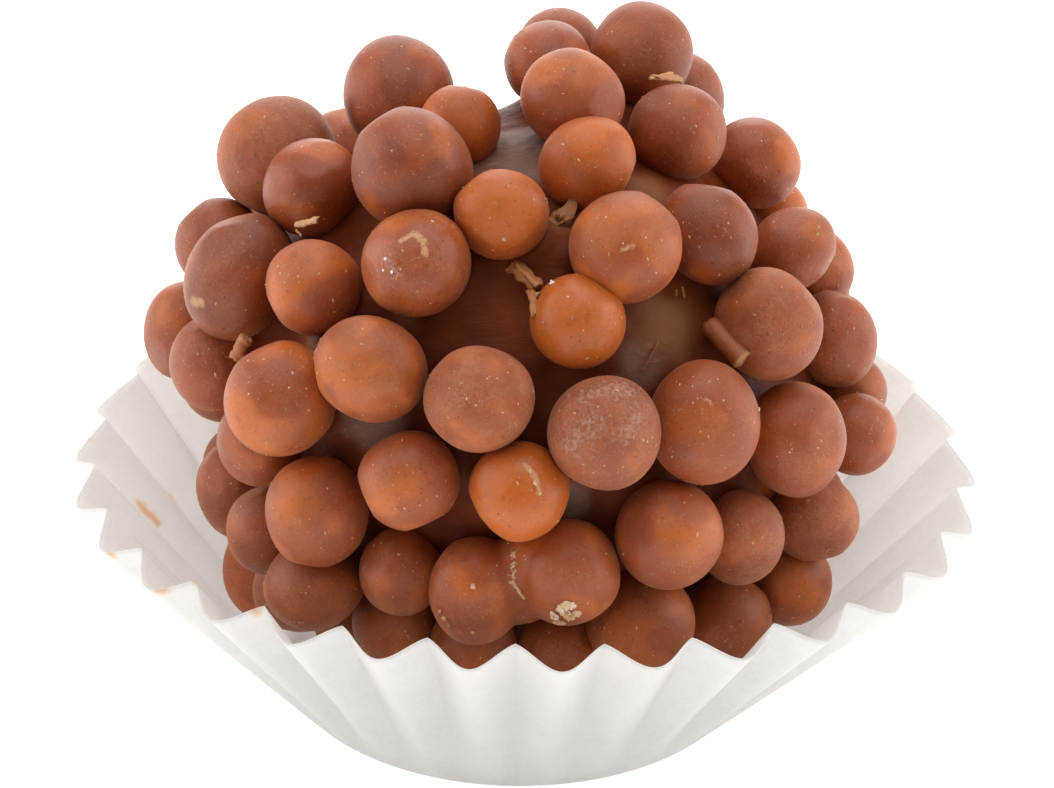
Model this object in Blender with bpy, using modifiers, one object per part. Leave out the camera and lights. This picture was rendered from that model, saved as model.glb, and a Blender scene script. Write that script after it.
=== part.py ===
"""A brigadeiro: a ball of dark fudge rolled in crisp chocolate pearls, in its fluted paper case.

Metres, +Z up. The origin is the middle of the underside of the case, which stands on z = 0. The front
is -Y. Round the ball, longitude 0 faces the front and grows towards +X, and latitude 90 is the top.
"""

import math

import bmesh
import bpy
import numpy
from mathutils import Matrix, Vector

MM = 0.001
# Points closer than this are one point; a length too small to matter.
WELD = 0.001 * MM
TINY = 0.01 * MM

# Paper case: a No. 5 size, cut from one disc whose wall is folded into pleats.
BASE_RADIUS = 12.5 * MM
WALL_SLANT = 16.6 * MM
PAPER = 0.2 * MM
PLEATS = 30
PLEAT_DEPTH = 1.65 * MM
PLEAT_GROWTH = 0.9
PLEAT_UNEVENNESS = 0.16
PLEAT_SEED = 7
SHARP_INNER_FOLDS = 0.5
STEPS_PER_PLEAT = 6
WALL_ROWS = 2
# The wall leans out by this many degrees: the mean, and how the front, right and both sides differ.
FLARE = 35.4
FLARE_FRONT = 5.1
FLARE_RIGHT = 1.8
FLARE_SIDES = 5.8

# Fudge ball: wider than it is tall, and a little forward in the case.
BALL_CENTRE = Vector((0.1, -0.9, 18.3)) * MM
BALL_HALF_SIZE = Vector((15.2, 14.5, 13.9)) * MM
BALL_DETAIL = 3

# Pearls: how deep each is pressed into the fudge, and the gap that the lowest keep to the paper.
SINK = 0.6 * MM
CLEARANCE = 0.4 * MM
# Segments and rings of a pearl in front and of one behind or below, and of a lump of fudge under one.
FRONT_MESH = (7, 5)
BACK_MESH = (6, 4)
LUMP_MESH = (6, 4)
# A faceted ball is made this much larger, so that its flats lie as far out as the true sphere.
FACET_ALLOWANCE = 1.035
# Facets that meet at less than this many degrees are shaded as one round surface.
SHARP_ANGLE = 60
# Under a pearl that rides higher than this, a lump of fudge reaches up into it.
HIGH_RIDING = 0.45 * MM
LUMP_OVERLAP = 0.7 * MM

# The pearls of the front, placed by hand from the crown down:
# longitude, latitude (degrees), width, height (mm), and how far each rides above its seat (mm).
FRONT_PEARLS = (
    # crown
    (136, 61, 5.6, 5.2, 1.7), (165, 74, 4.5, 5.5, 1.1), (169, 57, 4.7, 4.7, 1.3), (67, 81, 5.1, 5.4, 1.0),
    (92, 61, 5.1, 5.1, 0.1), (138, 45, 5.2, 5.2, 0.5), (34, 69, 5.1, 4.5, 0.0), (-72, 77, 4.3, 4.2, 0.0),
    (-47, 62, 6.4, 6.0, 0.0), (-120, 62, 6.3, 5.4, -0.4), (-8, 59, 4.8, 4.5, 0.0),
    # shoulder
    (108, 40, 4.6, 5.1, 0.3), (57, 46, 4.8, 5.4, 0.0), (28, 49, 5.8, 5.8, 0.3), (13, 38, 4.8, 4.8, -0.3),
    (-28, 46, 5.4, 5.6, 0.0), (-79, 47, 4.9, 5.2, 0.0), (-101, 41, 6.4, 6.4, 0.1),
    (-136, 30, 4.3, 4.3, 0.0),
    # upper side
    (115, 24, 4.4, 4.4, -0.8), (96, 20, 4.5, 4.6, -0.5), (81, 32, 4.7, 4.1, 0.0), (57, 27, 5.4, 5.8, 0.0),
    (-8, 24, 5.6, 5.3, 0.0), (-30, 26, 5.8, 5.4, 0.0), (-52, 35, 4.9, 4.9, 0.0), (-75, 27, 5.4, 7.0, 0.0),
    (-93, 24, 4.8, 4.8, 0.6),
    # girth
    (90, -3, 4.4, 4.4, 0.3), (83, 12, 4.5, 5.2, 0.0), (76, -3, 4.2, 4.4, 1.4), (55, 6, 5.3, 6.2, 0.2),
    (35, 16, 5.8, 6.4, -0.2), (15, 18, 5.7, 5.9, 0.4), (0, 8, 5.1, 5.0, 0.0), (-20, 8, 5.1, 5.0, 0.0),
    (-46, 16, 5.7, 5.9, 0.6), (-56, 3, 4.5, 4.8, -0.5), (-76, 9, 4.8, 5.0, -0.3), (-91, 7, 4.7, 5.4, 0.8),
    # lower side, where the middle three are one twin pearl and its web
    (63, -13, 4.7, 4.7, 0.8), (44, -10, 4.5, 5.1, 0.1), (27, -3, 5.5, 5.6, 0.0), (9, -9, 5.2, 5.7, 0.0),
    (1, -12, 3.8, 5.6, 0.0), (-8, -14, 5.0, 6.0, 0.0), (-23, -14, 4.3, 4.7, -0.3), (-38, -3, 5.3, 5.9, 0.0),
    (-55, -16, 4.4, 5.0, -0.1), (-74, -18, 4.8, 5.6, -0.9),
    # just above the paper
    (62, -27, 4.7, 4.8, 1.3), (46, -30, 4.8, 4.8, 0.9), (24, -24, 5.8, 5.4, 0.5), (9, -31, 4.6, 4.6, 0.3),
    (-9, -30, 4.6, 4.6, 0.3), (-27, -30, 4.7, 4.6, -0.3), (-39, -18, 5.2, 4.4, 1.1),
    (-57, -33, 4.7, 4.8, 0.0),
)

# Bare fudge that no other pearl may cover: longitude, latitude (degrees), width (mm).
BARE_PATCHES = ((-172, 42, 11.0),)

# The rest of the coat is scattered by a seeded draw over the back and the underside, then eased apart.
MORE_PEARLS = 52
MORE_SEED = 36
SMALLEST = 4.3 * MM
LARGEST = 6.2 * MM
SCATTER_RADIUS = 16.4 * MM
EASING_STEPS = 160
EASING_PUSH = 0.4
# A way is behind or below when its share along the front's heading, or along +Z, is less than these.
FRONT_HEADING = Vector((0.0, -0.875, 0.485)).normalized()
BACK_LIMIT = -0.36
UNDERSIDE_LIMIT = -0.60

# A broken chocolate rod that lies against a pearl, right of the middle. Each end: longitude, latitude
# (degrees), and how far its middle is from the fudge.
ROD_RADIUS = 0.55 * MM
ROD_SIDES = 8
ROD_ENDS = ((46, 32, 0.8 * MM), (46, 24, 2.3 * MM))

# Materials: colour, roughness.
FUDGE = ((0.115, 0.052, 0.032, 1.0), 0.45)
PEARL_CHOCOLATE = ((0.292, 0.095, 0.042, 1.0), 0.5)
CASE_PAPER = ((0.82, 0.81, 0.79, 1.0), 0.8)


def clear_scene():
    for item in list(bpy.data.objects):
        bpy.data.objects.remove(item, do_unlink=True)


def new_collection(name):
    collection = bpy.data.collections.new(name)
    bpy.context.scene.collection.children.link(collection)
    return collection


def new_material(name, look):
    colour, roughness = look
    material = bpy.data.materials.new(name)
    material.use_nodes = True
    shader = material.node_tree.nodes["Principled BSDF"]
    shader.inputs["Base Color"].default_value = colour
    shader.inputs["Roughness"].default_value = roughness
    shader.inputs["Metallic"].default_value = 0.0
    material.diffuse_color = colour
    return material


def new_object(name, work, collection, materials):
    """A mesh object made from a bmesh, which is freed."""
    mesh = bpy.data.meshes.new(name)
    work.to_mesh(mesh)
    work.free()
    for material in materials:
        mesh.materials.append(material)
    item = bpy.data.objects.new(name, mesh)
    collection.objects.link(item)
    return item


def flare(angle):
    """How far the wall leans out at this angle round the case, in radians."""
    degrees = FLARE + FLARE_FRONT * math.cos(angle) + FLARE_RIGHT * math.sin(angle)
    degrees -= FLARE_SIDES * math.cos(2 * angle)
    return math.radians(degrees)


def fold_strengths():
    """One factor for each fold, outer and inner in turn: real pleats aren't all as deep."""
    draw = numpy.random.RandomState(PLEAT_SEED)
    return 1.0 - PLEAT_UNEVENNESS * draw.random_sample(2 * PLEATS)


def pleat_wave(angle, strengths):
    """From 1 on an outer fold to -1 on an inner one. The inner folds are the sharper ones."""
    turn = (angle / (2 * math.pi) * PLEATS + 0.5) % PLEATS
    phase = 2 * math.pi * turn
    round_wave = math.cos(phase)
    cusped_wave = 2 * abs(math.cos(phase / 2)) - 1
    wave = (1 - SHARP_INNER_FOLDS) * round_wave + SHARP_INNER_FOLDS * cusped_wave
    half = int(2 * turn) % (2 * PLEATS)
    share = 2 * turn % 1.0
    share = share * share * (3 - 2 * share)
    nearest = strengths[half] * (1 - share) + strengths[(half + 1) % (2 * PLEATS)] * share
    return wave * nearest


def wall_point(angle, slant, strengths):
    """The outside of the wall, this far up its slant."""
    lean = flare(angle)
    depth = 0.5 * PLEAT_DEPTH * (slant / WALL_SLANT) ** PLEAT_GROWTH
    proud = depth * pleat_wave(angle, strengths)
    radius = BASE_RADIUS + slant * math.sin(lean) + proud * math.cos(lean)
    height = slant * math.cos(lean) - proud * math.sin(lean)
    return Vector((radius * math.sin(angle), -radius * math.cos(angle), max(height, 0.0)))


def build_paper_case(collection):
    """A strip as long as the case is round, wrapped into its floor and wall, then given its thickness."""
    strengths = fold_strengths()
    around = PLEATS * STEPS_PER_PLEAT
    rows = WALL_ROWS + 1
    work = bmesh.new()
    bmesh.ops.create_grid(work, x_segments=around, y_segments=rows, size=1.0)
    for vertex in work.verts:
        angle = math.pi * vertex.co.x
        row = round((vertex.co.y + 1) / 2 * rows)
        if row == 0:
            vertex.co = Vector((0.0, 0.0, 0.0))
        else:
            vertex.co = wall_point(angle, WALL_SLANT * (row - 1) / WALL_ROWS, strengths)
    bmesh.ops.remove_doubles(work, verts=work.verts, dist=WELD)
    bmesh.ops.recalc_face_normals(work, faces=work.faces)
    case = new_object("paper_case", work, collection, [new_material("case_paper", CASE_PAPER)])
    thickness = case.modifiers.new("paper thickness", "SOLIDIFY")
    thickness.thickness = PAPER
    thickness.offset = -1.0
    return case


def heading(longitude, latitude):
    """The unit vector that points this way from the middle of the ball. Degrees."""
    east, north = math.radians(longitude), math.radians(latitude)
    return Vector((math.cos(north) * math.sin(east), -math.cos(north) * math.cos(east), math.sin(north)))


def ball_reach(way):
    """How far the fudge reaches from the middle of the ball, this way."""
    return 1.0 / math.sqrt(sum((way[i] / BALL_HALF_SIZE[i]) ** 2 for i in range(3)))


def paper_limit(way, radius):
    """How far from the middle of the ball a pearl can sit, this way, and still clear the paper."""
    limit = math.inf
    if way.z < 0:
        limit = (BALL_CENTRE.z - PAPER - CLEARANCE - radius) / -way.z
    angle = math.atan2(way.x, -way.y)
    lean = flare(angle)
    outward = Vector((math.cos(lean) * math.sin(angle), -math.cos(lean) * math.cos(angle), -math.sin(lean)))
    foot = Vector((BASE_RADIUS * math.sin(angle), -BASE_RADIUS * math.cos(angle), 0.0))
    towards = way.dot(outward)
    if towards > 0:
        room = (foot - BALL_CENTRE).dot(outward) - PAPER - CLEARANCE - radius
        rise = room / towards * way.z + BALL_CENTRE.z
        pleat = 0.5 * PLEAT_DEPTH * min(max(rise / math.cos(lean) / WALL_SLANT, 0.0), 1.0)
        limit = min(limit, (room - pleat) / towards)
    return limit


def keep_behind(ways):
    """Moves each way that is neither behind nor below straight back, to where the back starts."""
    front = numpy.array(FRONT_HEADING)
    ahead = ways @ front
    strays = (ahead > BACK_LIMIT) & (ways[:, 2] > UNDERSIDE_LIMIT)
    across = ways - ahead[:, None] * front
    across /= numpy.linalg.norm(across, axis=1, keepdims=True)
    moved = BACK_LIMIT * front + math.sqrt(1 - BACK_LIMIT**2) * across
    return numpy.where(strays[:, None], moved, ways)


def ease_apart(ways, widths, fixed, fixed_widths):
    """Moves the ways off each other and off the fixed ones, a little at a time."""
    wanted = 0.5 * (widths[:, None] + numpy.concatenate([widths, fixed_widths])[None])
    for _ in range(EASING_STEPS):
        apart = ways[:, None] - numpy.concatenate([ways, fixed])[None]
        distance = numpy.linalg.norm(apart, axis=2) * SCATTER_RADIUS
        overlap = numpy.clip(wanted - distance, 0.0, None)
        numpy.fill_diagonal(overlap, 0.0)
        push = EASING_PUSH * overlap / (distance + TINY)
        ways = ways + (push[..., None] * apart).sum(axis=1)
        ways = keep_behind(ways / numpy.linalg.norm(ways, axis=1, keepdims=True))
    return ways


def scatter_more():
    """Ways and widths of the pearls of the back and the underside."""
    draw = numpy.random.RandomState(MORE_SEED)
    drawn = draw.normal(size=(MORE_PEARLS, 3))
    drawn = keep_behind(drawn / numpy.linalg.norm(drawn, axis=1, keepdims=True))
    widths = draw.uniform(SMALLEST, LARGEST, MORE_PEARLS)
    fixed = [heading(row[0], row[1]) for row in FRONT_PEARLS + BARE_PATCHES]
    fixed_widths = [row[2] * MM for row in FRONT_PEARLS + BARE_PATCHES]
    ways = ease_apart(drawn, widths, numpy.array(fixed), numpy.array(fixed_widths))
    return [(Vector(way), float(width)) for way, width in zip(ways, widths)]


def pearl_matrix(way, width, height, lift):
    """Seats a unit sphere on the ball as one pearl, its pole outwards and its height northwards."""
    reach = ball_reach(way) + 0.5 * width - SINK + lift
    reach = min(reach, paper_limit(way, 0.5 * max(width, height)))
    east = Vector((0.0, 0.0, 1.0)).cross(way)
    east = east.normalized() if east.length > 1e-6 else Vector((1.0, 0.0, 0.0))
    frame = Matrix((east, way.cross(east), way)).transposed()
    sizes = Matrix.Diagonal((width, height, width)) * FACET_ALLOWANCE
    return Matrix.Translation(BALL_CENTRE + reach * way) @ (frame @ sizes).to_4x4()


def lump_matrix(way, lift):
    """A lump of fudge from the ball up into a pearl that rides above its seat."""
    size = 2 * (lift - SINK + LUMP_OVERLAP)
    return Matrix.Translation(BALL_CENTRE + ball_reach(way) * way) @ Matrix.Scale(size, 4)


def front_pearls():
    """The matrix of every pearl placed by hand."""
    return [
        pearl_matrix(heading(longitude, latitude), width * MM, height * MM, lift * MM)
        for longitude, latitude, width, height, lift in FRONT_PEARLS
    ]


def back_pearls():
    """The matrix of every pearl of the scattered rest."""
    return [pearl_matrix(way, width, width, 0.0) for way, width in scatter_more()]


def lumps():
    """The matrix of the lump under each pearl that rides high."""
    rows = [row for row in FRONT_PEARLS if row[4] * MM > HIGH_RIDING]
    return [lump_matrix(heading(row[0], row[1]), row[4] * MM) for row in rows]


def build_small_balls(name, matrices, mesh, collection, materials, slot):
    segments, rings = mesh
    for matrix in matrices:
        work = bmesh.new()
        bmesh.ops.create_uvsphere(work, u_segments=segments, v_segments=rings, radius=0.5, matrix=matrix)
        for face in work.faces:
            face.material_index = slot
        new_object(name, work, collection, materials)


def build_rod(collection, materials):
    """The broken rod: a short cylinder from one of its ends to the other."""
    ways = [heading(longitude, latitude) for longitude, latitude, _ in ROD_ENDS]
    start, end = [BALL_CENTRE + (ball_reach(ways[i]) + ROD_ENDS[i][2]) * ways[i] for i in range(2)]
    along = end - start
    turn = along.to_track_quat("Z", "Y").to_matrix().to_4x4()
    work = bmesh.new()
    bmesh.ops.create_cone(
        work,
        cap_ends=True,
        segments=ROD_SIDES,
        radius1=ROD_RADIUS,
        radius2=ROD_RADIUS,
        depth=along.length,
        matrix=Matrix.Translation((start + end) / 2) @ turn,
    )
    for face in work.faces:
        face.material_index = 1
    return new_object("rod", work, collection, materials)


def build_brigadeiro(collection):
    """The fudge ball with its whole coat fused on, as one solid."""
    materials = [new_material("fudge", FUDGE), new_material("pearl_chocolate", PEARL_CHOCOLATE)]
    work = bmesh.new()
    shape = Matrix.Translation(BALL_CENTRE) @ Matrix.Diagonal(BALL_HALF_SIZE.to_4d())
    bmesh.ops.create_icosphere(work, subdivisions=BALL_DETAIL, radius=1.0, matrix=shape)
    ball = new_object("brigadeiro", work, collection, materials)
    coat = new_collection("coat")
    build_small_balls("lump", lumps(), LUMP_MESH, coat, materials, 0)
    build_small_balls("front pearl", front_pearls(), FRONT_MESH, coat, materials, 1)
    build_small_balls("back pearl", back_pearls(), BACK_MESH, coat, materials, 1)
    build_rod(coat, materials)
    join = ball.modifiers.new("join the coat", "BOOLEAN")
    join.operation = "UNION"
    join.operand_type = "COLLECTION"
    join.collection = coat
    join.solver = "EXACT"
    apply_modifiers(ball)
    ball.data.shade_smooth()
    ball.data.set_sharp_from_angle(angle=math.radians(SHARP_ANGLE))
    for item in list(coat.objects):
        bpy.data.objects.remove(item, do_unlink=True)
    bpy.data.collections.remove(coat)
    return ball


def apply_modifiers(item):
    """Turns what the viewport evaluates into the object's own mesh."""
    shown = item.evaluated_get(bpy.context.evaluated_depsgraph_get())
    mesh = bpy.data.meshes.new_from_object(shown)
    item.modifiers.clear()
    item.data = mesh


def main():
    clear_scene()
    parts = new_collection("brigadeiro")
    build_paper_case(parts)
    build_brigadeiro(parts)


main()
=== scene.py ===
"""Looks of the brigadeiro: its pearls, its fudge, its paper case, and the light and camera.

Metres, +Z up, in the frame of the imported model. The dimensions below are those of the solids.
"""

from collections import namedtuple
from math import atan2, cos, degrees, exp, hypot, inf, pi, radians, sin, sqrt

import bmesh
import bpy
import numpy as np
from mathutils import Matrix, Vector
from mathutils.bvhtree import BVHTree
from numpy.random import RandomState


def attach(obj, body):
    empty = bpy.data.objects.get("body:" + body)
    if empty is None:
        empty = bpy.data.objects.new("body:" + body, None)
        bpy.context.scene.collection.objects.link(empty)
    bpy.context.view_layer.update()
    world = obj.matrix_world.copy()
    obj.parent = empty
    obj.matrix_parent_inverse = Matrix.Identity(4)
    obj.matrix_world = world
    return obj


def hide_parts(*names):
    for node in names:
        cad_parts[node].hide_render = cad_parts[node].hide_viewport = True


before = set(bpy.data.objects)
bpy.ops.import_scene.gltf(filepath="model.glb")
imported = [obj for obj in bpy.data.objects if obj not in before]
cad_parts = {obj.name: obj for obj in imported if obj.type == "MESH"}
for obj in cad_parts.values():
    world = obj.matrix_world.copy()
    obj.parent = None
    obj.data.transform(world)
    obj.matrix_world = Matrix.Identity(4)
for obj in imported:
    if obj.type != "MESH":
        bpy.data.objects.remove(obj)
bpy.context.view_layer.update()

MM = 0.001
TINY = 0.01 * MM
WELD = 0.001 * MM

# ---- Dimensions, as in the solids ----

BASE_RADIUS = 12.5 * MM
WALL_SLANT = 16.6 * MM
PLEATS = 30
PLEAT_DEPTH = 1.65 * MM
PLEAT_GROWTH = 0.9
PLEAT_UNEVENNESS = 0.16
PLEAT_SEED = 7
SHARP_INNER_FOLDS = 0.5
FLARE = 35.4
FLARE_FRONT = 5.1
FLARE_RIGHT = 1.8
FLARE_SIDES = 5.8
SOLID_PAPER = 0.2 * MM

BALL_CENTRE = Vector((0.1, -0.9, 18.3)) * MM
BALL_HALF_SIZE = Vector((15.2, 14.5, 13.9)) * MM
SINK = 0.6 * MM
CLEARANCE = 0.4 * MM

# Longitude, latitude (degrees), width, height, ride above the seat (mm), and the look of each pearl.
FRONT_PEARLS = (
    # crown
    (136, 61, 5.6, 5.2, 1.7, "milk"), (165, 74, 4.5, 5.5, 1.1, "plum"), (169, 57, 4.7, 4.7, 1.3, "milk"),
    (67, 81, 5.1, 5.4, 1.0, "warm"), (92, 61, 5.1, 5.1, 0.1, "milk"), (138, 45, 5.2, 5.2, 0.5, "plum"),
    (34, 69, 5.1, 4.5, 0.0, "amber"), (-72, 77, 4.3, 4.2, 0.0, "amber"), (-47, 62, 6.4, 6.0, 0.0, "plum"),
    (-120, 62, 6.3, 5.4, -0.4, "plum"), (-8, 59, 4.8, 4.5, 0.0, "amber"),
    # shoulder
    (108, 40, 4.6, 5.1, 0.3, "warm"), (57, 46, 4.8, 5.4, 0.0, "plum"), (28, 49, 5.8, 5.8, 0.3, "warm"),
    (13, 38, 4.8, 4.8, -0.3, "toffee"), (-28, 46, 5.4, 5.6, 0.0, "smeared"),
    (-79, 47, 4.9, 5.2, 0.0, "glazed"), (-101, 41, 6.4, 6.4, 0.1, "dusty"),
    (-136, 30, 4.3, 4.3, 0.0, "milk"),
    # upper side
    (115, 24, 4.4, 4.4, -0.8, "warm"), (96, 20, 4.5, 4.6, -0.5, "warm"), (81, 32, 4.7, 4.1, 0.0, "milk"),
    (57, 27, 5.4, 5.8, 0.0, "dusty"), (-8, 24, 5.6, 5.3, 0.0, "dusty"), (-30, 26, 5.8, 5.4, 0.0, "warm"),
    (-52, 35, 4.9, 4.9, 0.0, "warm"), (-75, 27, 5.4, 7.0, 0.0, "plum"), (-93, 24, 4.8, 4.8, 0.6, "milk"),
    # girth
    (90, -3, 4.4, 4.4, 0.3, "milk"), (83, 12, 4.5, 5.2, 0.0, "milk"), (76, -3, 4.2, 4.4, 1.4, "warm"),
    (55, 6, 5.3, 6.2, 0.2, "milk"), (35, 16, 5.8, 6.4, -0.2, "milk"), (15, 18, 5.7, 5.9, 0.4, "frosted"),
    (0, 8, 5.1, 5.0, 0.0, "toffee"), (-20, 8, 5.1, 5.0, 0.0, "warm"), (-46, 16, 5.7, 5.9, 0.6, "warm"),
    (-56, 3, 4.5, 4.8, -0.5, "warm"), (-76, 9, 4.8, 5.0, -0.3, "milk"), (-91, 7, 4.7, 5.4, 0.8, "milk"),
    # lower side, where the middle three are one twin pearl and its web
    (63, -13, 4.7, 4.7, 0.8, "dusty"), (44, -10, 4.5, 5.1, 0.1, "dusty"), (27, -3, 5.5, 5.6, 0.0, "warm"),
    (9, -9, 5.2, 5.7, 0.0, "twin"), (1, -12, 3.8, 5.6, 0.0, "twin"), (-8, -14, 5.0, 6.0, 0.0, "twin"),
    (-23, -14, 4.3, 4.7, -0.3, "warm"), (-38, -3, 5.3, 5.9, 0.0, "warm"),
    (-55, -16, 4.4, 5.0, -0.1, "milk"), (-74, -18, 4.8, 5.6, -0.9, "milk"),
    # just above the paper
    (62, -27, 4.7, 4.8, 1.3, "warm"), (46, -30, 4.8, 4.8, 0.9, "milk"), (24, -24, 5.8, 5.4, 0.5, "warm"),
    (9, -31, 4.6, 4.6, 0.3, "milk"), (-9, -30, 4.6, 4.6, 0.3, "milk"), (-27, -30, 4.7, 4.6, -0.3, "milk"),
    (-39, -18, 5.2, 4.4, 1.1, "milk"), (-57, -33, 4.7, 4.8, 0.0, "milk"),
)
BARE_PATCHES = ((-172, 42, 11.0),)
MORE_PEARLS = 52
MORE_SEED = 36
SMALLEST = 4.3 * MM
LARGEST = 6.2 * MM
SCATTER_RADIUS = 16.4 * MM
EASING_STEPS = 160
EASING_PUSH = 0.4
FRONT_HEADING = Vector((0.0, -0.875, 0.485)).normalized()
BACK_LIMIT = -0.36
UNDERSIDE_LIMIT = -0.60

HIGH_RIDING = 0.45 * MM

ROD_RADIUS = 0.55 * MM
ROD_ENDS = ((46, 32, 0.8 * MM), (46, 24, 2.3 * MM))

# ---- Camera, stage and light ----

AIM = Vector((0.4, 0.0, 16.6)) * MM
CAMERA_DISTANCE = 320 * MM
CAMERA_ELEVATION = radians(29.0)
CAMERA_ROLL = radians(0.8)
CAMERA_LENS = 206.4
CAMERA_SENSOR = 36.0
CAMERA_CLIPS = (0.01, 10.0)


def new_object(name, data):
    """A new object with this mesh, lamp or camera, in the scene."""
    item = bpy.data.objects.new(name, data)
    bpy.context.scene.collection.objects.link(item)
    return item


def build_camera():
    back = Vector((0.0, -cos(CAMERA_ELEVATION), sin(CAMERA_ELEVATION)))
    data = bpy.data.cameras.new("camera")
    data.lens = CAMERA_LENS
    data.sensor_width = CAMERA_SENSOR
    data.clip_start, data.clip_end = CAMERA_CLIPS
    camera = new_object("camera", data)
    camera.location = AIM + CAMERA_DISTANCE * back
    upright = (-back).to_track_quat("-Z", "Y").to_matrix()
    camera.rotation_euler = (upright @ Matrix.Rotation(CAMERA_ROLL, 3, "Z")).to_euler()
    bpy.context.scene.camera = camera


ROOM_COLOUR = (1.0, 0.985, 0.965)
ROOM_STRENGTH = 0.33

# Name, place (m), width (m) and power (W) of each soft box.
SOFT_BOXES = (
    ("above", (0.0, 0.05, 0.6), 0.7, 2.6),
    ("left", (-0.55, 0.05, 0.2), 0.6, 2.1),
    ("right", (0.55, 0.05, 0.2), 0.6, 2.1),
    ("behind", (0.0, 0.6, 0.22), 0.7, 2.8),
)


def build_light():
    world = bpy.data.worlds.new("studio")
    world.use_nodes = True
    background = world.node_tree.nodes["Background"]
    background.inputs["Color"].default_value = (*ROOM_COLOUR, 1.0)
    background.inputs["Strength"].default_value = ROOM_STRENGTH
    bpy.context.scene.world = world
    for name, place, width, power in SOFT_BOXES:
        data = bpy.data.lights.new(name, "AREA")
        data.shape = "DISK"
        data.size = width
        data.energy = power
        lamp = new_object(name, data)
        lamp.location = place
        lamp.rotation_euler = (AIM - Vector(place)).to_track_quat("-Z", "Y").to_euler()


FLOOR_SIZE = 6.0
FLOOR_DROP = 0.02 * MM
FLOOR_LOOK = {
    "Base Color": (0.93, 0.93, 0.93, 1.0),
    "Roughness": 0.9,
    "Specular IOR Level": 0.1,
    "Emission Color": (1.0, 1.0, 1.0, 1.0),
    "Emission Strength": 0.58,
}


def build_floor():
    work = bmesh.new()
    bmesh.ops.create_grid(work, x_segments=1, y_segments=1, size=FLOOR_SIZE / 2)
    mesh = bpy.data.meshes.new("floor")
    work.to_mesh(mesh)
    work.free()
    floor = new_object("floor", mesh)
    material = bpy.data.materials.new("floor")
    material.use_nodes = True
    shader = material.node_tree.nodes["Principled BSDF"]
    for key, value in FLOOR_LOOK.items():
        shader.inputs[key].default_value = value
    mesh.materials.append(material)
    floor.location.z = -FLOOR_DROP


# ---- Where the pearls sit, as in the solids ----


def flare(angle):
    """How far the wall leans out at this angle round the case, in radians."""
    lean = FLARE + FLARE_FRONT * cos(angle) + FLARE_RIGHT * sin(angle)
    return radians(lean - FLARE_SIDES * cos(2 * angle))


def round_case(angle, radius, height):
    """The point at this angle round the case, this far from its axis and this high."""
    return Vector((radius * sin(angle), -radius * cos(angle), height))


def heading(longitude, latitude):
    """The unit vector that points this way from the middle of the ball. Degrees."""
    east, north = radians(longitude), radians(latitude)
    return Vector((cos(north) * sin(east), -cos(north) * cos(east), sin(north)))


def ball_reach(way):
    """How far the fudge reaches from the middle of the ball, this way."""
    return 1.0 / sqrt(sum((way[i] / BALL_HALF_SIZE[i]) ** 2 for i in range(3)))


def paper_limit(way, radius):
    """How far from the middle of the ball a pearl can sit, this way, and still clear the paper."""
    limit = inf
    if way.z < 0:
        limit = (BALL_CENTRE.z - SOLID_PAPER - CLEARANCE - radius) / -way.z
    angle = atan2(way.x, -way.y)
    lean = flare(angle)
    outward = round_case(angle, cos(lean), -sin(lean))
    foot = round_case(angle, BASE_RADIUS, 0.0)
    towards = way.dot(outward)
    if towards > 0:
        room = (foot - BALL_CENTRE).dot(outward) - SOLID_PAPER - CLEARANCE - radius
        rise = room / towards * way.z + BALL_CENTRE.z
        pleat = 0.5 * PLEAT_DEPTH * min(max(rise / cos(lean) / WALL_SLANT, 0.0), 1.0)
        limit = min(limit, (room - pleat) / towards)
    return limit


def unit(ways):
    """Rows of directions, each made 1 long."""
    return ways / np.linalg.norm(ways, axis=1, keepdims=True)


def keep_behind(ways):
    """Moves each way that is neither behind nor below straight back, to where the back starts."""
    front = np.array(FRONT_HEADING)
    ahead = ways @ front
    strays = (ahead > BACK_LIMIT) & (ways[:, 2] > UNDERSIDE_LIMIT)
    across = unit(ways - ahead[:, None] * front)
    moved = BACK_LIMIT * front + sqrt(1 - BACK_LIMIT**2) * across
    return np.where(strays[:, None], moved, ways)


def ease_apart(ways, widths, fixed, fixed_widths):
    """Moves the ways off each other and off the fixed ones, a little at a time."""
    wanted = 0.5 * (widths[:, None] + np.concatenate([widths, fixed_widths])[None])
    for _ in range(EASING_STEPS):
        apart = ways[:, None] - np.concatenate([ways, fixed])[None]
        distance = np.linalg.norm(apart, axis=2) * SCATTER_RADIUS
        overlap = np.clip(wanted - distance, 0.0, None)
        np.fill_diagonal(overlap, 0.0)
        push = EASING_PUSH * overlap / (distance + TINY)
        ways = ways + (push[..., None] * apart).sum(axis=1)
        ways = keep_behind(unit(ways))
    return ways


def scatter_more():
    """Ways and widths of the pearls of the back and the underside."""
    draw = RandomState(MORE_SEED)
    drawn = keep_behind(unit(draw.normal(size=(MORE_PEARLS, 3))))
    widths = draw.uniform(SMALLEST, LARGEST, MORE_PEARLS)
    fixed = [heading(row[0], row[1]) for row in FRONT_PEARLS + BARE_PATCHES]
    fixed_widths = [row[2] * MM for row in FRONT_PEARLS + BARE_PATCHES]
    ways = ease_apart(drawn, widths, np.array(fixed), np.array(fixed_widths))
    return [(Vector(way), float(width)) for way, width in zip(ways, widths)]


def pearl_matrix(way, width, height, lift):
    """Seats a ball of diameter 1 on the fudge as one pearl, its pole outwards and its height northwards."""
    reach = ball_reach(way) + 0.5 * width - SINK + lift
    reach = min(reach, paper_limit(way, 0.5 * max(width, height)))
    east = Vector((0.0, 0.0, 1.0)).cross(way)
    east = east.normalized() if east.length > 1e-6 else Vector((1.0, 0.0, 0.0))
    turn = Matrix((east, way.cross(east), way)).transposed()
    shape = turn @ Matrix.Diagonal((width, height, width))
    return Matrix.Translation(BALL_CENTRE + reach * way) @ shape.to_4x4()


BACK_LOOKS = ("milk", "milk", "warm", "plum", "milk", "dusty", "warm", "amber")

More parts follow.
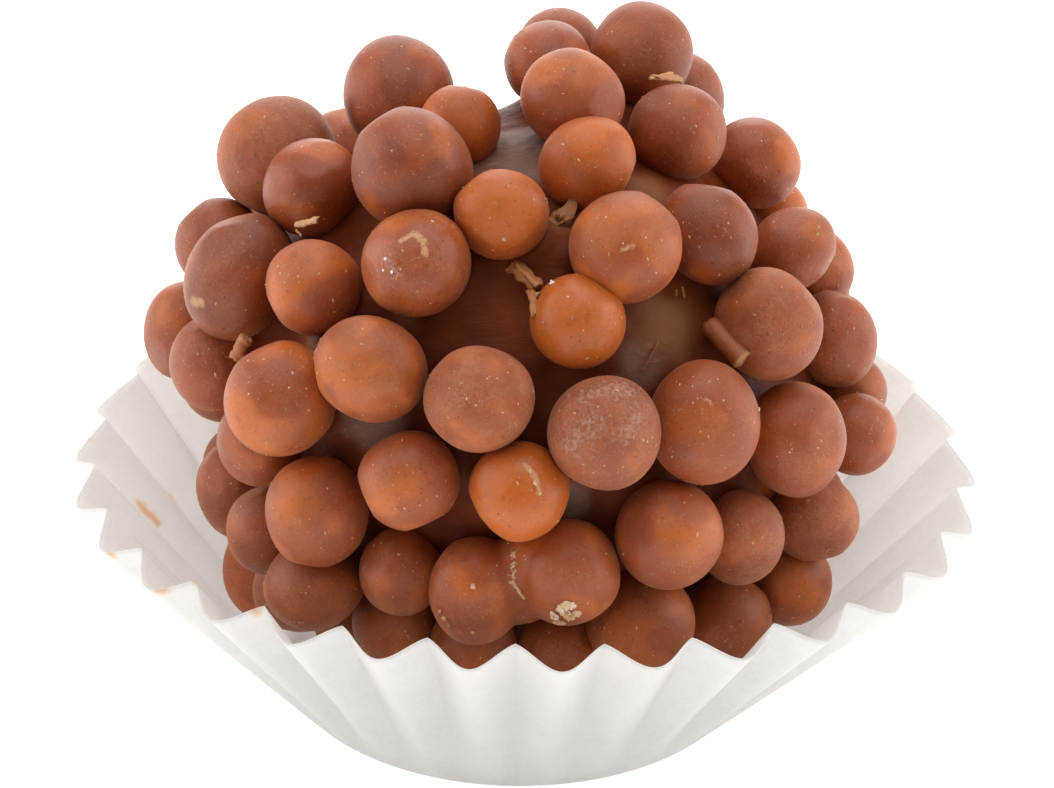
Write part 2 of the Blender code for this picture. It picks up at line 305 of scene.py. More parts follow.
Pearl = namedtuple("Pearl", "index matrix look place")


def all_pearls():
    """Every pearl. Its place is its longitude and latitude, or None where it was scattered."""
    pearls = []
    for longitude, latitude, width, height, lift, look in FRONT_PEARLS:
        matrix = pearl_matrix(heading(longitude, latitude), width * MM, height * MM, lift * MM)
        pearls.append(Pearl(len(pearls), matrix, look, (longitude, latitude)))
    for number, (way, width) in enumerate(scatter_more()):
        look = BACK_LOOKS[number % len(BACK_LOOKS)]
        pearls.append(Pearl(len(pearls), pearl_matrix(way, width, width, 0.0), look, None))
    return pearls


def pearl_at(pearls, place):
    return next(pearl for pearl in pearls if pearl.place == place)


# ---- Meshes ----

VECTORS = ("local",)


def unit_ball(subdivisions):
    """Points and triangles of a ball of radius 1, as arrays."""
    work = bmesh.new()
    bmesh.ops.create_icosphere(work, subdivisions=subdivisions, radius=1.0)
    points = np.array([vertex.co[:] for vertex in work.verts])
    triangles = np.array([[vertex.index for vertex in face.verts] for face in work.faces])
    work.free()
    return points, triangles


def dress(item, node):
    """Hands a piece to the frame: it rides on the body and stands for a solid."""
    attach(item, "root")
    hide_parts(node)


class Heap:
    """Closed meshes as one piece, with values at their points for the material."""

    def __init__(self):
        self.points = []
        self.faces = []
        self.values = {}
        self.count = 0

    def add(self, points, faces, **values):
        self.points.append(points)
        self.faces.extend([[corner + self.count for corner in face] for face in faces])
        self.count += len(points)
        for key, value in values.items():
            shape = (len(points), 3) if key in VECTORS else (len(points),)
            self.values.setdefault(key, []).append(np.broadcast_to(value, shape))

    def mesh(self, name):
        mesh = bpy.data.meshes.new(name)
        mesh.from_pydata(np.concatenate(self.points).tolist(), [], self.faces)
        return mesh

    def build(self, name, material):
        mesh = self.mesh(name)
        mesh.materials.append(material)
        for key, values in self.values.items():
            kind, field = ("FLOAT_VECTOR", "vector") if key in VECTORS else ("FLOAT", "value")
            layer = mesh.attributes.new(key, kind, "POINT")
            layer.data.foreach_set(field, np.concatenate(values).astype(np.float32).ravel())
        mesh.shade_smooth()
        dress(new_object(name, mesh), "brigadeiro")


def waves(points, draw, count, pitch):
    """A smooth random field, about -1 to 1, over points."""
    field = np.zeros(len(points))
    for _ in range(count):
        field += np.sin(points @ (draw.normal(size=3) * pitch) + draw.uniform(0, 2 * pi))
    return field / sqrt(count)


# ---- Materials ----


class Shader:
    """A material's node tree, with short calls for its nodes."""

    def __init__(self, name):
        self.material = bpy.data.materials.new(name)
        self.material.use_nodes = True
        self.tree = self.material.node_tree
        self.surface = self.tree.nodes["Principled BSDF"]

    def node(self, kind, **settings):
        made = self.tree.nodes.new(kind)
        for key, value in settings.items():
            setattr(made, key, value)
        return made

    def link(self, source, target):
        self.tree.links.new(source, target)

    def put(self, target, value):
        """Feeds a socket from another one, or sets it."""
        if isinstance(value, bpy.types.NodeSocket):
            self.link(value, target)
        elif isinstance(value, tuple) and len(value) == 3 and target.type == "RGBA":
            target.default_value = (*value, 1.0)
        else:
            target.default_value = value

    def attribute(self, name, output="Fac"):
        return self.node("ShaderNodeAttribute", attribute_name=name).outputs[output]

    def fill(self, made, **values):
        """Feeds or sets the inputs of a node by name."""
        for key, value in values.items():
            self.put(made.inputs[key.replace("_", " ")], value)

    def pair(self, kind, operation, first, second):
        made = self.node(kind, operation=operation)
        self.put(made.inputs[0], first)
        self.put(made.inputs[1], second)
        return made

    def maths(self, operation, first, second, clamp=False):
        made = self.pair("ShaderNodeMath", operation, first, second)
        made.use_clamp = clamp
        return made.outputs[0]

    def plus(self, first, second):
        return self.maths("ADD", first, second)

    def times(self, first, second):
        return self.maths("MULTIPLY", first, second)

    def vector(self, operation, first, second):
        return self.pair("ShaderNodeVectorMath", operation, first, second).outputs[0]

    def position(self):
        return self.node("ShaderNodeTexCoord").outputs["Object"]

    def noise(self, place, scale, detail=2.0, roughness=0.5, distortion=0.0):
        """Cloudy noise, 0 to 1, with about this many clouds to a millimetre."""
        made = self.node("ShaderNodeTexNoise")
        self.fill(made, Vector=place, Scale=scale / MM, Detail=detail, Roughness=roughness)
        self.fill(made, Distortion=distortion)
        return made.outputs["Fac"]

    def dots(self, place, scale, size, share):
        """Round dots, 1 in their middles, in this share of the cells. Scale: cells to a millimetre."""
        cells = self.node("ShaderNodeTexVoronoi")
        self.fill(cells, Vector=place, Scale=scale / MM)
        dot = self.between(cells.outputs["Distance"], size, 0.5 * size)
        parts = self.node("ShaderNodeSeparateColor")
        self.link(cells.outputs["Color"], parts.inputs[0])
        return self.times(dot, self.maths("LESS_THAN", parts.outputs[0], share))

    def between(self, value, low, high, start=0.0, end=1.0):
        """Maps low to start and high to end, smoothly and clamped."""
        made = self.node("ShaderNodeMapRange", interpolation_type="SMOOTHSTEP")
        self.fill(made, Value=value, From_Min=low, From_Max=high, To_Min=start, To_Max=end)
        return made.outputs["Result"]

    def mix(self, share, first, second):
        made = self.node("ShaderNodeMix", data_type="RGBA")
        self.put(made.inputs["Factor"], share)
        self.put(made.inputs[6], first)
        self.put(made.inputs[7], second)
        return made.outputs[2]

    def bump(self, height, strength, distance):
        made = self.node("ShaderNodeBump")
        self.fill(made, Height=height, Strength=strength, Distance=distance)
        self.link(made.outputs["Normal"], self.surface.inputs["Normal"])

    def set(self, **values):
        self.fill(self.surface, **values)


MILK = (0.315, 0.058, 0.008)
AMBER = (0.485, 0.106, 0.011)
PLUM = (0.205, 0.039, 0.012)
BLOOM = (0.440, 0.168, 0.076)
CRUST = (0.500, 0.270, 0.185)
TAN = (0.600, 0.330, 0.160)
PIT = (0.100, 0.018, 0.005)
SPECK = (0.760, 0.480, 0.340)

GLOSS_SHINE = 0.30
PEARL_RELIEF = 0.12 * MM


def pearl_colour(shader, place, grain):
    """Milk brown with thin amber patches and plum zones, under a dusty bloom."""
    broad = shader.noise(place, 0.33, 1.0, 0.4, 0.3)
    other = shader.noise(shader.vector("ADD", place, (0.05, 0.02, 0.03)), 0.4, 1.5, 0.5, 0.3)
    film = shader.noise(shader.vector("ADD", place, (0.01, 0.06, 0.02)), 0.6, 4.0, 0.6)
    mottle = shader.noise(place, 2.6, 3.0, 0.65)
    amber = shader.plus(shader.between(broad, 0.42, 0.66), shader.attribute("amber"))
    plum = shader.times(shader.between(other, 0.38, 0.64), shader.attribute("plum"))
    bloom = shader.times(shader.between(film, 0.34, 0.66, 0.25, 1.0), shader.attribute("bloom"))
    bloom = shader.times(bloom, shader.between(grain, 0.35, 0.65, 0.25, 1.15))
    colour = shader.mix(shader.between(amber, 0.55, 1.45), MILK, AMBER)
    colour = shader.mix(plum, colour, PLUM)
    colour = shader.mix(bloom, colour, BLOOM)
    return shader.mix(shader.between(mottle, 0.52, 0.72, 0.0, 0.35), colour, PLUM), film


def pearl_specks(shader, place):
    """Pale specks, coarse and fine, denser in a pearl's clusters."""
    crowd = shader.attribute("speck")
    share = shader.plus(shader.times(crowd, 0.6), 0.14)
    coarse = shader.dots(shader.vector("ADD", place, (0.03, 0.07, 0.01)), 2.2, 0.15, share)
    share = shader.plus(shader.times(crowd, 0.55), 0.3)
    fine = shader.dots(shader.vector("ADD", place, (0.05, 0.02, 0.04)), 4.2, 0.17, share)
    return shader.maths("MAXIMUM", coarse, shader.times(fine, 0.6))


def pearl_material(name, roughness, sheen, relief):
    """Crisp chocolate, with frost, smears, pits and specks."""
    shader = Shader(name)
    place = shader.attribute("local", "Vector")
    grain = shader.noise(place, 7.0, 4.0, 0.75)
    cloud = shader.noise(place, 2.4, 6.0, 0.75, 0.3)
    rime = shader.noise(place, 4.5, 5.0, 0.75, 0.4)
    gloss = shader.attribute("gloss")
    frost = shader.plus(rime, shader.times(shader.attribute("frost"), 0.16))
    frost = shader.between(frost, 0.58, 0.74)
    smear = shader.plus(shader.times(rime, 1.5), shader.attribute("smear"))
    smear = shader.between(smear, 1.25, 1.75)
    pits = shader.dots(place, 2.3, 0.15, 0.35)
    specks = pearl_specks(shader, place)

    colour, film = pearl_colour(shader, place, grain)
    covers = ((frost, 0.62, CRUST), (smear, 0.8, TAN), (pits, 0.6, PIT), (specks, 0.75, SPECK))
    for cover, share, over in covers:
        colour = shader.mix(shader.times(cover, share), colour, over)
    dull = shader.between(film, 0.3, 0.8, roughness - 0.05, roughness + 0.08)
    shader.set(
        Base_Color=shader.vector("MULTIPLY", colour, shader.attribute("light")),
        Roughness=shader.maths("SUBTRACT", dull, shader.times(gloss, GLOSS_SHINE), clamp=True),
        Specular_IOR_Level=0.4,
        Sheen_Weight=sheen,
        Sheen_Roughness=0.35,
        Sheen_Tint=(0.95, 0.72, 0.58),
        Subsurface_Weight=0.1,
        Subsurface_Radius=(1.0, 0.3, 0.1),
        Subsurface_Scale=0.5 * MM,
    )
    height = shader.times(grain, 0.3)
    uneven = ((cloud, 0.35), (frost, 0.35), (smear, 0.6), (shader.times(gloss, cloud), 1.6))
    for field, weight in (*uneven, (specks, 0.5), (pits, -0.6)):
        height = shader.plus(height, shader.times(field, weight))
    shader.bump(height, relief, PEARL_RELIEF)
    return shader.material


FUDGE_DARK = (0.090, 0.010, 0.001)
FUDGE_BROWN = (0.200, 0.040, 0.008)
# Grey of the handled patches, partly a painted reflection: it stands in for the gloss of the fudge there.
FUDGE_GREY_AND_REFLECTION = (0.220, 0.118, 0.085)
FUDGE_OLIVE = (0.215, 0.078, 0.032)
FUDGE_PALE = (0.380, 0.250, 0.200)
FUDGE_RELIEF = 0.16 * MM
STREAK_STRETCH = (0.45, 1.6, 1.6)


def fudge_material():
    """Dark moist fudge, greyish and streaked where handled, the grey partly a painted reflection, olive
    where it is thin.
    """
    shader = Shader("fudge")
    place = shader.position()
    broad = shader.noise(place, 0.3, 3.0)
    streaks = shader.noise(shader.vector("MULTIPLY", place, STREAK_STRETCH), 1.5, 5.0, 0.65, 0.5)
    fine = shader.noise(place, 7.0, 3.0, 0.6)
    worn = shader.plus(shader.attribute("worn"), shader.times(broad, 0.6))
    worn = shader.between(worn, 0.55, 1.15)
    olive = shader.between(shader.attribute("olive"), 0.25, 0.95)
    colour = shader.mix(shader.between(broad, 0.3, 0.8), FUDGE_DARK, FUDGE_BROWN)
    # Handled patches turn grey and show pale streaks, partly as a painted reflection of the light on the
    # glossy fudge.
    colour = shader.mix(worn, colour, FUDGE_GREY_AND_REFLECTION)
    colour = shader.mix(olive, colour, FUDGE_OLIVE)
    pale = shader.times(shader.between(streaks, 0.52, 0.74), worn)
    colour = shader.mix(shader.times(pale, 0.6), colour, FUDGE_PALE)
    shader.set(
        Base_Color=colour,
        Roughness=shader.between(streaks, 0.3, 0.7, 0.34, 0.55),
        Specular_IOR_Level=0.13,
    )
    shader.bump(shader.plus(streaks, shader.times(fine, 0.25)), 0.55, FUDGE_RELIEF)
    return shader.material


# Colours of broken chocolate from tone 0 up by steps of 0.5, and of its flecks from tone 0 to 1.
BIT_COLOURS = ((0.250, 0.048, 0.012), (0.400, 0.145, 0.042), (0.680, 0.410, 0.210), (0.900, 0.860, 0.820))
FLECK_COLOURS = ((0.360, 0.120, 0.050), (0.850, 0.640, 0.450))
BIT_RELIEF = 0.08 * MM


def bits_material():
    """Broken chocolate, brown to tan by the tone of each bit, with a pale-flecked grain."""
    shader = Shader("bits")
    tone = shader.attribute("tone")
    grain = shader.noise(shader.position(), 5.0, 4.0, 0.65)
    colour = BIT_COLOURS[0]
    for step, over in enumerate(BIT_COLOURS[1:]):
        colour = shader.mix(shader.between(tone, 0.5 * step, 0.5 * step + 0.5), colour, over)
    flecks = shader.times(shader.between(grain, 0.52, 0.7), 0.35)
    colour = shader.mix(flecks, colour, shader.mix(tone, *FLECK_COLOURS))
    dull = shader.between(grain, 0.3, 0.7, 0.4, 0.6)
    shader.set(Base_Color=colour, Roughness=dull, Specular_IOR_Level=0.4)
    shader.bump(grain, 0.5, BIT_RELIEF)
    return shader.material


PAPER_DIM = (0.825, 0.830, 0.815)
PAPER_WHITE = (0.900, 0.905, 0.890)
PAPER_FIBRE = (0.930, 0.935, 0.930)
PAPER_GLOW = (0.900, 0.885, 0.860)
STAIN = (0.860, 0.600, 0.400)
TRANSLUCENT_SHARE = 0.50
PAPER_RELIEF = 0.06 * MM


def paper_material():
    """Thin fibrous paper, a little translucent, with fat stains along its folds."""
    shader = Shader("case_paper")
    place = shader.position()
    fibres = shader.noise(place, 3.5, 6.0, 0.75)
    cloud = shader.noise(place, 0.6, 4.0, 0.6)
    colour = shader.mix(shader.between(cloud, 0.3, 0.7), PAPER_DIM, PAPER_WHITE)
    colour = shader.mix(shader.between(fibres, 0.4, 0.62, 0.0, 0.8), colour, PAPER_FIBRE)
    creep = shader.noise(place, 1.6, 5.0, 0.7, 0.5)
    stain = shader.between(shader.plus(shader.attribute("stain"), shader.times(creep, 1.2)), 0.85, 1.7)
    shader.set(Base_Color=shader.mix(stain, colour, STAIN), Roughness=0.75, Specular_IOR_Level=0.3)
    shader.bump(fibres, 0.45, PAPER_RELIEF)
    glow = shader.node("ShaderNodeBsdfTranslucent")
    shader.put(glow.inputs["Color"], shader.mix(stain, PAPER_GLOW, STAIN))
    both = shader.node("ShaderNodeMixShader")
    both.inputs[0].default_value = TRANSLUCENT_SHARE
    shader.link(shader.surface.outputs[0], both.inputs[1])
    shader.link(glow.outputs[0], both.inputs[2])
    shader.link(both.outputs[0], shader.tree.nodes["Material Output"].inputs["Surface"])
    return shader.material


# ---- Pearls ----

# How amber, plum, bloomed and frosted each look is, and how light it is on the whole.
LOOKS = {
    "milk": (0.1, 0.55, 0.42, 0.0, 0.97),
    "warm": (0.5, 0.4, 0.34, 0.0, 1.0),
    "amber": (1.0, 0.15, 0.16, 0.0, 1.06),
    "plum": (0.05, 0.95, 0.34, 0.0, 0.96),
    "dusty": (0.05, 0.6, 0.72, 0.12, 1.0),
    "frosted": (0.1, 0.75, 0.62, 0.55, 0.98),
    "toffee": (1.4, 0.1, 0.12, 0.0, 1.02),
    "smeared": (0.4, 0.45, 0.4, 0.05, 1.0),
    "glazed": (0.35, 0.55, 0.1, 0.0, 0.9),
    "twin": (0.35, 0.3, 0.42, 0.0, 1.12),
}
# Each piece of pearls: its looks, detail of its balls, roughness, sheen and relief. The first takes all
# pearls of the back and the underside.
PEARL_PIECES = (
    ("pearls_back", (), 4, 0.5, 0.16, 0.22),
    ("pearls_milk", ("milk",), 5, 0.48, 0.13, 0.42),
    ("pearls_warm", ("warm",), 5, 0.46, 0.13, 0.42),
    ("pearls_plum", ("plum", "amber"), 5, 0.45, 0.13, 0.42),
    ("pearls_dusty", ("dusty", "frosted"), 5, 0.56, 0.2, 0.6),
    ("pearls_glossy", ("toffee", "smeared", "glazed"), 6, 0.34, 0.08, 0.42),
)
PEARL_SEED = 5
LIGHT_SPREAD = 0.06
WAVES = 7
WAVE_HEIGHT = 0.026
WAVE_PITCH = 1.9
FLATS = 6
FLAT_SHARE = 0.60
FLAT_LIMITS = (0.9, 0.99)
AMBER_MARK = 0.9
FROST_MARK = 0.9
FROST_LOOK = 0.35
BLOOM_SPREAD = (0.8, 1.2)

MARK_KINDS = ("smear", "gloss", "speck", "amber", "frost")
# Marks on single pearls, by longitude and latitude: the kind, two ends on the outer face (east, north) and
# half width, as shares of the pearl's radius.
MARKS = {
    # the glazed pearl: a tan arch, a pale crust of crystals where it sparkles, partly a painted highlight,
    # and thumbed gloss
    (-28, 46): (
        ("smear", (0.0, 0.1), (0.2, 0.3), 0.1), ("smear", (0.2, 0.3), (0.4, 0.2), 0.13),
        ("smear", (0.4, 0.2), (0.5, 0.0), 0.1), ("frost", (-0.2, -0.3), (0.1, -0.5), 0.16),
        ("gloss", (-0.2, -0.3), (0.1, -0.5), 0.25), ("gloss", (0.3, 0.7), (0.4, 0.7), 0.1),
        ("gloss", (0.7, 0.0), (0.4, -0.7), 0.14),
    ),
    # the toffee pearls: a pink crust on one, a thumbed patch on the other
    (0, 8): (("smear", (0.1, 0.8), (0.3, 0.6), 0.11), ("smear", (0.3, 0.6), (0.4, 0.3), 0.09)),
    (13, 38): (("gloss", (0.2, -0.3), (0.5, -0.3), 0.35),),
    # crusts on the frosted pearl
    (15, 18): (
        ("frost", (-0.8, 0.0), (-0.4, 0.4), 0.3), ("frost", (-0.4, 0.8), (0.4, 0.8), 0.28),
        ("frost", (0.2, 0.2), (0.4, 0.4), 0.2),
    ),
    # scuffs, amber places and clusters of fine pale specks
    (35, 16): (("smear", (-0.4, 0.6), (-0.3, 0.5), 0.06), ("speck", (-0.6, 0.6), (-0.2, 0.5), 0.3)),
    (28, 49): (("smear", (-0.5, -0.3), (-0.3, -0.3), 0.07), ("amber", (-0.6, 0.3), (-0.1, 0.4), 0.45)),
    (-47, 62): (("smear", (0.5, 0.1), (0.5, 0.2), 0.05),),
    (-75, 27): (("smear", (0.4, -0.5), (0.6, -0.4), 0.14),),
    (81, 32): (("smear", (-0.3, -0.6), (0.0, -0.7), 0.08),),
    (-79, 47): (("gloss", (0.7, 0.0), (0.8, -0.4), 0.2),),
    (-30, 26): (("amber", (0.2, -0.6), (0.6, -0.5), 0.3), ("speck", (-0.5, 0.3), (-0.1, 0.6), 0.4)),
    (-8, 24): (
        ("amber", (-0.3, -0.3), (0.0, -0.4), 0.3), ("amber", (0.0, 0.7), (0.2, 0.8), 0.25),
        ("speck", (0.0, 0.2), (0.4, 0.4), 0.25),
    ),
    (-20, 8): (("amber", (0.0, 0.2), (0.3, 0.3), 0.45),),
    (-52, 35): (("amber", (0.0, 0.0), (0.2, 0.0), 0.45), ("speck", (0.0, 0.1), (0.1, 0.0), 0.2)),
    (-38, -3): (("amber", (0.0, 0.4), (0.2, 0.5), 0.45),),
    (-46, 16): (("amber", (-0.2, 0.0), (0.2, -0.3), 0.4), ("speck", (0.1, 0.6), (0.5, 0.8), 0.35)),
    (27, -3): (("amber", (-0.2, 0.4), (0.1, 0.3), 0.4),),
    (92, 61): (("amber", (-0.4, 0.4), (-0.4, 0.2), 0.3),),
    (-8, -14): (("amber", (-0.2, 0.9), (0.0, 0.8), 0.35), ("speck", (0.2, 0.5), (0.4, 0.4), 0.3)),
    (9, -9): (("amber", (-0.1, 0.1), (0.3, 0.0), 0.3),),
    (-8, 59): (("amber", (-0.4, -0.6), (0.3, -0.5), 0.4),),
}

# Pearls pressed flatter: where the flat faces (east, north) and how far out it lies (share of the radius).
FLATTENED = {
    (-46, 16): ((-0.5, 0.8), 0.9), (-20, 8): ((-0.8, -0.4), 0.91), (28, 49): ((0.8, 0.5), 0.9),
    (-30, 26): ((0.7, -0.6), 0.9), (-75, 27): ((-0.3, 0.8), 0.91), (-47, 62): ((-0.7, 0.2), 0.92),
    (92, 61): ((-0.2, 0.8), 0.92), (81, 32): ((-0.2, 0.9), 0.92),
}


def outer_way(east, north):
    """The direction, in a pearl's own frame, of this place on its outer face."""
    way = np.array((east, north, sqrt(max(1 - east**2 - north**2, 0.0))))
    return way / np.linalg.norm(way)


def lumpy(ways, draw, flats):
    """A ball of radius 1 with slow waves and soft flats: its points, these ways from its middle."""
    radius = 1.0 + WAVE_HEIGHT * waves(ways, draw, WAVES, WAVE_PITCH)
    for _ in range(FLATS):
        side = draw.normal(size=3)
        side /= np.linalg.norm(side)
        flats = [*flats, (side, draw.uniform(*FLAT_LIMITS))]
    for side, limit in flats:
        radius -= FLAT_SHARE * np.clip(ways @ side * radius - limit, 0.0, None)
    return ways * radius[:, None]


def on_pearl(pearl, ways):
    """Where these ways (in the pearl's own frame) meet its surface."""
    flats = []
    if pearl.place in FLATTENED:
        side, limit = FLATTENED[pearl.place]
        flats = [(outer_way(*side), limit)]
    shape = 0.5 * lumpy(ways, RandomState(PEARL_SEED + pearl.index), flats)
    return shape @ np.array(pearl.matrix.to_3x3()).T + np.array(pearl.matrix.translation)


def mark_strength(ways, place, kind):
    """From 0 to 1 at each way: how far this kind of mark covers the pearl placed here."""
    strength = np.zeros(len(ways))
    for mark, start, end, width in MARKS.get(place, ()):
        if mark != kind:
            continue
        ends = [outer_way(*start), outer_way(*end)]
        along = ends[1] - ends[0]
        share = np.clip((ways - ends[0]) @ along / (along @ along), 0.0, 1.0)
        off = np.linalg.norm(ways - ends[0] - share[:, None] * along, axis=1)
        strength = np.maximum(strength, np.exp(-((off / width) ** 2)))
    return strength


def look_values(pearl, ways):
    """The values that the pearl material reads, at these ways on this pearl."""
    amber, plum, bloom, frost, light = LOOKS[pearl.look]
    draw = RandomState(PEARL_SEED * 100 + pearl.index)
    radius = 0.5 * pearl.matrix.to_scale().x
    marks = {kind: mark_strength(ways, pearl.place, kind) for kind in MARK_KINDS}
    return {
        **marks,
        "local": ways * radius + draw.uniform(-1, 1, 3),
        "amber": amber + AMBER_MARK * marks["amber"],
        "plum": plum,
        "bloom": bloom * draw.uniform(*BLOOM_SPREAD),
        "frost": FROST_LOOK * frost + FROST_MARK * marks["frost"],
        "light": light * draw.uniform(1 - LIGHT_SPREAD, 1 + LIGHT_SPREAD),
    }


def build_pearls(pearls):
    """The pearls, apart from the twin, as the pieces of PEARL_PIECES."""
    heaps = {}
    names = {}
    for name, looks, detail, roughness, sheen, relief in PEARL_PIECES:
        heaps[name] = (Heap(), unit_ball(detail), pearl_material(name, roughness, sheen, relief))
        names.update({look: name for look in looks})
    for pearl in pearls:
        if pearl.look == "twin":
            continue
        heap, (ball, triangles), _ = heaps[names[pearl.look] if pearl.place else "pearls_back"]
        heap.add(on_pearl(pearl, ball), triangles, **look_values(pearl, ball))
    for name, (heap, _, material) in heaps.items():
        heap.build(name, material)


TWIN_DETAIL = 4
TWIN_VOXEL = 0.14 * MM
TWIN_SMOOTHING = 30
TWIN_SMOOTH_FACTOR = 0.6
# How strongly each kind of mark shows on the twin.
TWIN_MARKS = {"smear": 1.0, "amber": AMBER_MARK, "speck": 1.0}


def build_twin(pearls):
    """The pearls that ran together: one skin over them, smoothed where they meet."""
    ball, triangles = unit_ball(TWIN_DETAIL)
    heap = Heap()
    twins = [pearl for pearl in pearls if pearl.look == "twin"]
    for pearl in twins:
        heap.add(on_pearl(pearl, ball), triangles)
    source = new_object("twin_rough", heap.mesh("twin_rough"))
    skin = source.modifiers.new("one skin", "REMESH")
    skin.mode = "VOXEL"
    skin.voxel_size = TWIN_VOXEL
    smooth = source.modifiers.new("smooth", "SMOOTH")
    smooth.factor = TWIN_SMOOTH_FACTOR
    smooth.iterations = TWIN_SMOOTHING
    bpy.context.view_layer.update()
    evaluated = source.evaluated_get(bpy.context.evaluated_depsgraph_get())
    mesh = bpy.data.meshes.new_from_object(evaluated)
    points = np.array([vertex.co[:] for vertex in mesh.vertices])
    faces = [list(face.vertices) for face in mesh.polygons]
    bpy.data.objects.remove(source)
    first = twins[0].matrix
    local = (points - np.array(first.translation)) / (0.5 * first.to_scale().x)
    values = look_values(twins[0], local)
    for pearl in twins:
        ways = (points - np.array(pearl.matrix.translation)) @ np.array(pearl.matrix.to_3x3())
        for kind, strength in TWIN_MARKS.items():
            mark = mark_strength(unit(ways), pearl.place, kind)
            values[kind] = np.maximum(values[kind], strength * mark)
    skin_heap = Heap()
    skin_heap.add(points, faces, **values)
    skin_heap.build("pearls_twin", pearl_material("pearls_twin", 0.46, 0.13, 0.28))
    return BVHTree.FromPolygons(points.tolist(), faces)


# ---- Fudge ball ----

FUDGE_DETAIL = 7
FUDGE_SEED = 3
FUDGE_WAVES = 14
FUDGE_PITCH = 7.0
FUDGE_WAVE_HEIGHT = 0.17 * MM
COLLAR_HEIGHT = 0.35 * MM
COLLAR_WIDTH = 0.7 * MM
FOOT_SHARE = 0.42

# Longitude, latitude and half width (degrees) of the greyish patches, worn and partly a painted reflection,
# and of the olive ones.
WORN_AND_REFLECTION_PATCHES = ((0, 80, 10), (-60, 85, 6), (28, 29, 6), (-31, 16, 8), (10, 2, 5))
OLIVE_PATCHES = ((62, 61, 6), (36, 34, 10), (-49, 25, 4), (14, 60, 4))
# Longitude, latitude, half width (degrees) and height (mm) of the swellings between pearls.
BULGES = ((9, 54, 8, 0.8), (62, 61, 6, 0.6), (33, 32, 9, 0.5), (-49, 25, 4, 0.4))


def near(ways, longitude, latitude, half_width):
    """From 0 to 1: how near each way lies to this one."""
    cosine = np.clip(ways @ np.array(heading(longitude, latitude)), -1.0, 1.0)
    return np.exp(-((np.degrees(np.arccos(cosine)) / half_width) ** 2))


def build_fudge(pearls):
    """The ball of fudge. It swells between some pearls, grips each and rises under the high ones."""
    ways, triangles = unit_ball(FUDGE_DETAIL)
    half = np.array(BALL_HALF_SIZE)
    reach = 1.0 / np.sqrt(((ways / half) ** 2).sum(axis=1))
    reach += FUDGE_WAVE_HEIGHT * waves(ways, RandomState(FUDGE_SEED), FUDGE_WAVES, FUDGE_PITCH)
    for longitude, latitude, half_width, height in BULGES:
        reach += height * MM * near(ways, longitude, latitude, half_width)
    points = np.array(BALL_CENTRE) + ways * reach[:, None]
    rise = np.zeros(len(points))
    for pearl in pearls:
        gap = np.linalg.norm(points - np.array(pearl.matrix.translation), axis=1)
        gap = np.clip(gap - 0.5 * pearl.matrix.to_scale().x, 0.0, None)
        rise = np.maximum(rise, COLLAR_HEIGHT * np.exp(-((gap / COLLAR_WIDTH) ** 2)))
    for longitude, latitude, width, _, lift, _ in FRONT_PEARLS:
        if lift * MM > HIGH_RIDING:
            half_width = degrees(FOOT_SHARE * width * MM / BALL_HALF_SIZE.x)
            foot = lift * MM * near(ways, longitude, latitude, half_width)
            rise = np.maximum(rise, foot)
    points = points + ways * rise[:, None]
    # Handled patches, their grey partly a painted reflection.
    worn = sum(near(ways, *patch) for patch in WORN_AND_REFLECTION_PATCHES)
    olive = sum(near(ways, *patch) for patch in OLIVE_PATCHES)
    heap = Heap()
    heap.add(points, triangles, worn=worn, olive=olive)
    heap.build("fudge", fudge_material())


# ---- Bits, rod, crumbs and dust ----

BIT_STATIONS = 36
BIT_AROUND = 24
BITS_SEED = 21
ROUGH_PASSES = 8
BIT_ROUGHNESS = 0.10
BIT_SWAY = 0.06
BIT_ROUNDED = 0.06
ROD_ROUGHNESS = 0.015
ROD_ROUNDED = 0.16
ROD_TORN = 0.05 * MM

# Each bit, in mm: its ends (longitude, latitude, height above the ball), its half widths there, its half
# thickness, how far it bows outwards and how torn its ends are. Then its tone, brown 0 to tan 1.
BITS = (
    # the thick sliver on a toffee pearl, its pale upper edge and the skin torn down the pearl
    ((-3, 51, 0.5), (4, 45, 1.3), 0.42, 0.45, 0.25, 0.1, 0.15, 0.36),
    ((-2, 50, 1.0), (4, 45, 1.7), 0.1, 0.18, 0.12, 0.0, 0.1, 0.6),
    ((2, 44, 1.6), (3, 39, 2.3), 0.22, 0.24, 0.14, 0.1, 0.2, 0.5),
    ((1, 44, 1.5), (4, 43, 2.0), 0.06, 0.14, 0.08, -0.1, 0.1, 0.75),
    # the skin torn up between the amber pearl and its neighbour
    ((10, 60, 0.5), (18, 61, 1.0), 0.34, 0.44, 0.09, 0.0, 0.25, 0.48),
    ((16, 60, 0.9), (25, 65, 1.7), 0.46, 0.12, 0.09, 0.0, 0.3, 0.6),
    # the ragged flake at the crown: its ridge and its broad end
    ((100, 69, 4.0), (113, 63, 4.0), 0.08, 0.16, 0.08, 0.0, 0.1, 0.75),
    ((103, 68, 4.0), (109, 63, 4.0), 0.16, 0.46, 0.12, 0.0, 0.3, 0.6),
    # spikes of torn fudge at the right, and the ridge beside a scratch
    ((43, 39, 0.3), (42, 40, 0.8), 0.08, 0.03, 0.05, 0.0, 0.05, 0.55),
    ((45, 38, 0.3), (44, 40, 0.8), 0.09, 0.03, 0.05, 0.0, 0.05, 0.55),
    ((33, 32, 0.5), (27, 27, 0.5), 0.05, 0.04, 0.05, 0.1, 0.05, 0.2),
    # the chunk at the left, and the pale chips below the glossy pearl
    ((-61, 21, 2.3), (-61, 17, 2.6), 0.36, 0.42, 0.34, 0.0, 0.15, 0.4),
    ((-65, 42, 2.7), (-60, 45, 2.7), 0.2, 0.2, 0.12, -0.05, 0.1, 0.75),
    ((-66, 41, 2.3), (-63, 41, 2.3), 0.06, 0.07, 0.05, 0.0, 0.05, 0.6),
)


